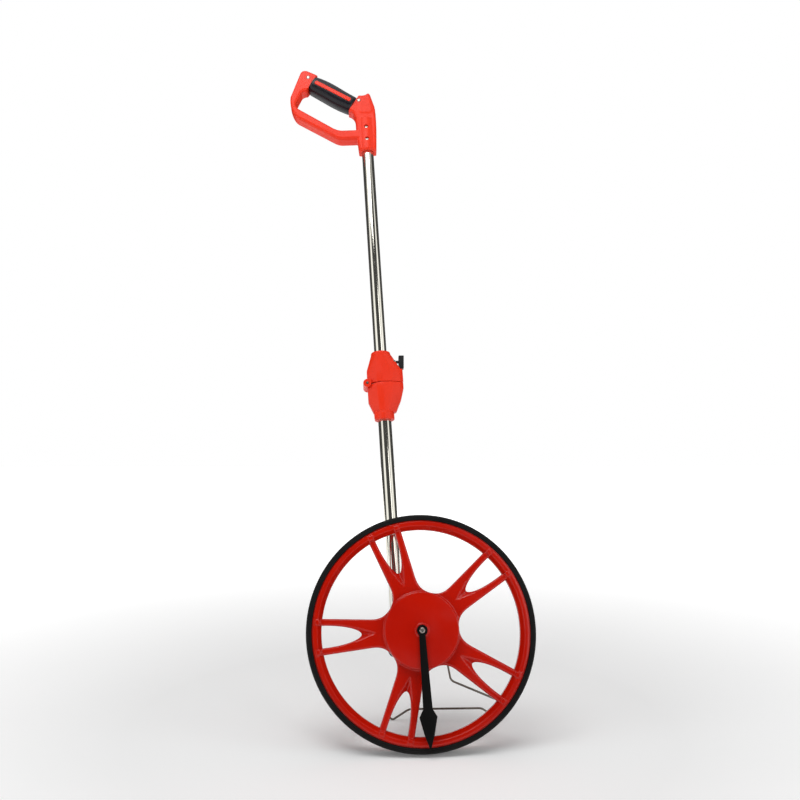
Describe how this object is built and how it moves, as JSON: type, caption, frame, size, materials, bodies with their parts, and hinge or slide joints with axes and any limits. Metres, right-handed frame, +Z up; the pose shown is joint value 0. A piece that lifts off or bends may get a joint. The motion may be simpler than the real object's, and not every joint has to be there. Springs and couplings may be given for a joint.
{
  "type": "measuring wheel",
  "caption": "Folding measuring wheel: a rubber-tyred spoked wheel drives a digit counter as it rolls, with an upright tube that folds, a D-shaped handle and a wire kickstand.",
  "frame": {"origin": "middle of the outline seen from above, on the floor the wheel and its kickstand stand on", "axes": "+Z up; +X to the right and +Y backwards for someone who faces the pointer side of the wheel"},
  "size_m": [0.3682, 0.3426, 1.0626],
  "materials": {
    "red_plastic": "glossy, bright orange-red",
    "dark_red_plastic": "glossy, dark red",
    "tyre_rubber": "black, nearly smooth",
    "grip_rubber": "matt black",
    "black_plastic": "fine grain, black",
    "polished_steel": "polished",
    "plated_steel": "zinc plated",
    "stand_wire": "darkened",
    "white_plastic": "smooth, white",
    "nylon": "natural",
    "clear_plastic": "clear"
  },
  "bodies": {
    "frame": {"axle": "plated_steel", "axle_nut": "plated_steel", "pointer": "black_plastic", "pointer_screw": "plated_steel", "gear_case": "black_plastic", "gear_case_cover": "black_plastic", "case_screw_1": "plated_steel", "case_screw_2": "plated_steel", "case_screw_3": "plated_steel", "case_screw_4": "plated_steel", "counter_window": "clear_plastic", "drum_shaft": "plated_steel", "reset_spring": "plated_steel", "tube_screw": "plated_steel", "lower_tube": "polished_steel", "lower_joint_housing": "red_plastic", "joint_screw_1": "plated_steel", "hinge_pin": "stand_wire", "stand_bracket": "black_plastic", "bracket_screw_1": "plated_steel", "bracket_screw_2": "plated_steel"},
    "wheel": {"spoked_wheel": "red_plastic", "tyre": "tyre_rubber", "hub_cover": "red_plastic", "front_bush": "nylon", "rear_bush": "nylon", "hub_drive_gear": "nylon"},
    "upper": {"upper_joint_housing": "red_plastic", "joint_screw_2": "plated_steel", "upper_tube": "polished_steel", "handle_front_shell": "red_plastic", "handle_rear_shell": "red_plastic", "handle_grip": "grip_rubber", "grip_inlay_front": "red_plastic", "grip_inlay_rear": "red_plastic", "handle_screw_1": "plated_steel", "handle_screw_2": "plated_steel", "handle_screw_3": "plated_steel", "handle_screw_4": "plated_steel", "latch_pin": "plated_steel", "latch_spring": "plated_steel"},
    "latch": {"latch_lever": "black_plastic"},
    "kickstand": {"kickstand_wire": "stand_wire"},
    "reset_button": {"reset_button": "dark_red_plastic"},
    "drum_1": {"counter_gear": "nylon", "digit_drum_1": "white_plastic"},
    "drum_2": {"digit_drum_2": "white_plastic"},
    "drum_3": {"digit_drum_3": "white_plastic"},
    "drum_4": {"digit_drum_4": "white_plastic"},
    "drum_5": {"digit_drum_5": "white_plastic"}
  },
  "joints": [
    {"name": "wheel_spin", "type": "hinge", "parent": "frame", "child": "wheel", "pos_m": [0.02503, -0.11216, 0.15639], "axis": [0, 0.9732, -0.23], "continuous": true},
    {"name": "handle_fold", "type": "hinge", "parent": "frame", "child": "upper", "pos_m": [-0.05025, 0.02766, 0.50444], "axis": [0, -0.9732, 0.23], "range_deg": [0, 178]},
    {"name": "latch_press", "type": "hinge", "parent": "upper", "child": "latch", "pos_m": [-0.00811, 0.03661, 0.54229], "axis": [0, 0.9732, -0.23], "range_deg": [0, 5], "stiffness_Nm_per_rad": 0.3},
    {"name": "kickstand_fold", "type": "hinge", "parent": "frame", "child": "kickstand", "pos_m": [0.04503, -0.03414, 0.12562], "axis": [1, 0, 0], "range_deg": [0, 158]},
    {"name": "reset_press", "type": "slide", "parent": "frame", "child": "reset_button", "axis": [-0.9983, -0.0132, -0.056], "range_m": [0, 0.003], "stiffness_N_per_m": 600, "deforming": ["reset_spring"]},
    {"name": "drum_1_spin", "type": "hinge", "parent": "frame", "child": "drum_1", "pos_m": [0.04296, -0.06283, 0.16945], "axis": [0, 0.9732, -0.23], "continuous": true},
    {"name": "drum_2_spin", "type": "hinge", "parent": "frame", "child": "drum_2", "pos_m": [0.04296, -0.06283, 0.16945], "axis": [0, 0.9732, -0.23], "continuous": true},
    {"name": "drum_3_spin", "type": "hinge", "parent": "frame", "child": "drum_3", "pos_m": [0.04296, -0.06283, 0.16945], "axis": [0, 0.9732, -0.23], "continuous": true},
    {"name": "drum_4_spin", "type": "hinge", "parent": "frame", "child": "drum_4", "pos_m": [0.04296, -0.06283, 0.16945], "axis": [0, 0.9732, -0.23], "continuous": true},
    {"name": "drum_5_spin", "type": "hinge", "parent": "frame", "child": "drum_5", "pos_m": [0.04296, -0.06283, 0.16945], "axis": [0, 0.9732, -0.23], "continuous": true}
  ],
  "couplings": [
    {"joint": "drum_1_spin", "follows": "wheel_spin", "ratio": -1},
    {"joint": "drum_2_spin", "follows": "wheel_spin", "ratio": -0.1},
    {"joint": "drum_3_spin", "follows": "wheel_spin", "ratio": -0.01},
    {"joint": "drum_4_spin", "follows": "wheel_spin", "ratio": -0.001},
    {"joint": "drum_5_spin", "follows": "wheel_spin", "ratio": -0.0001}
  ]
}
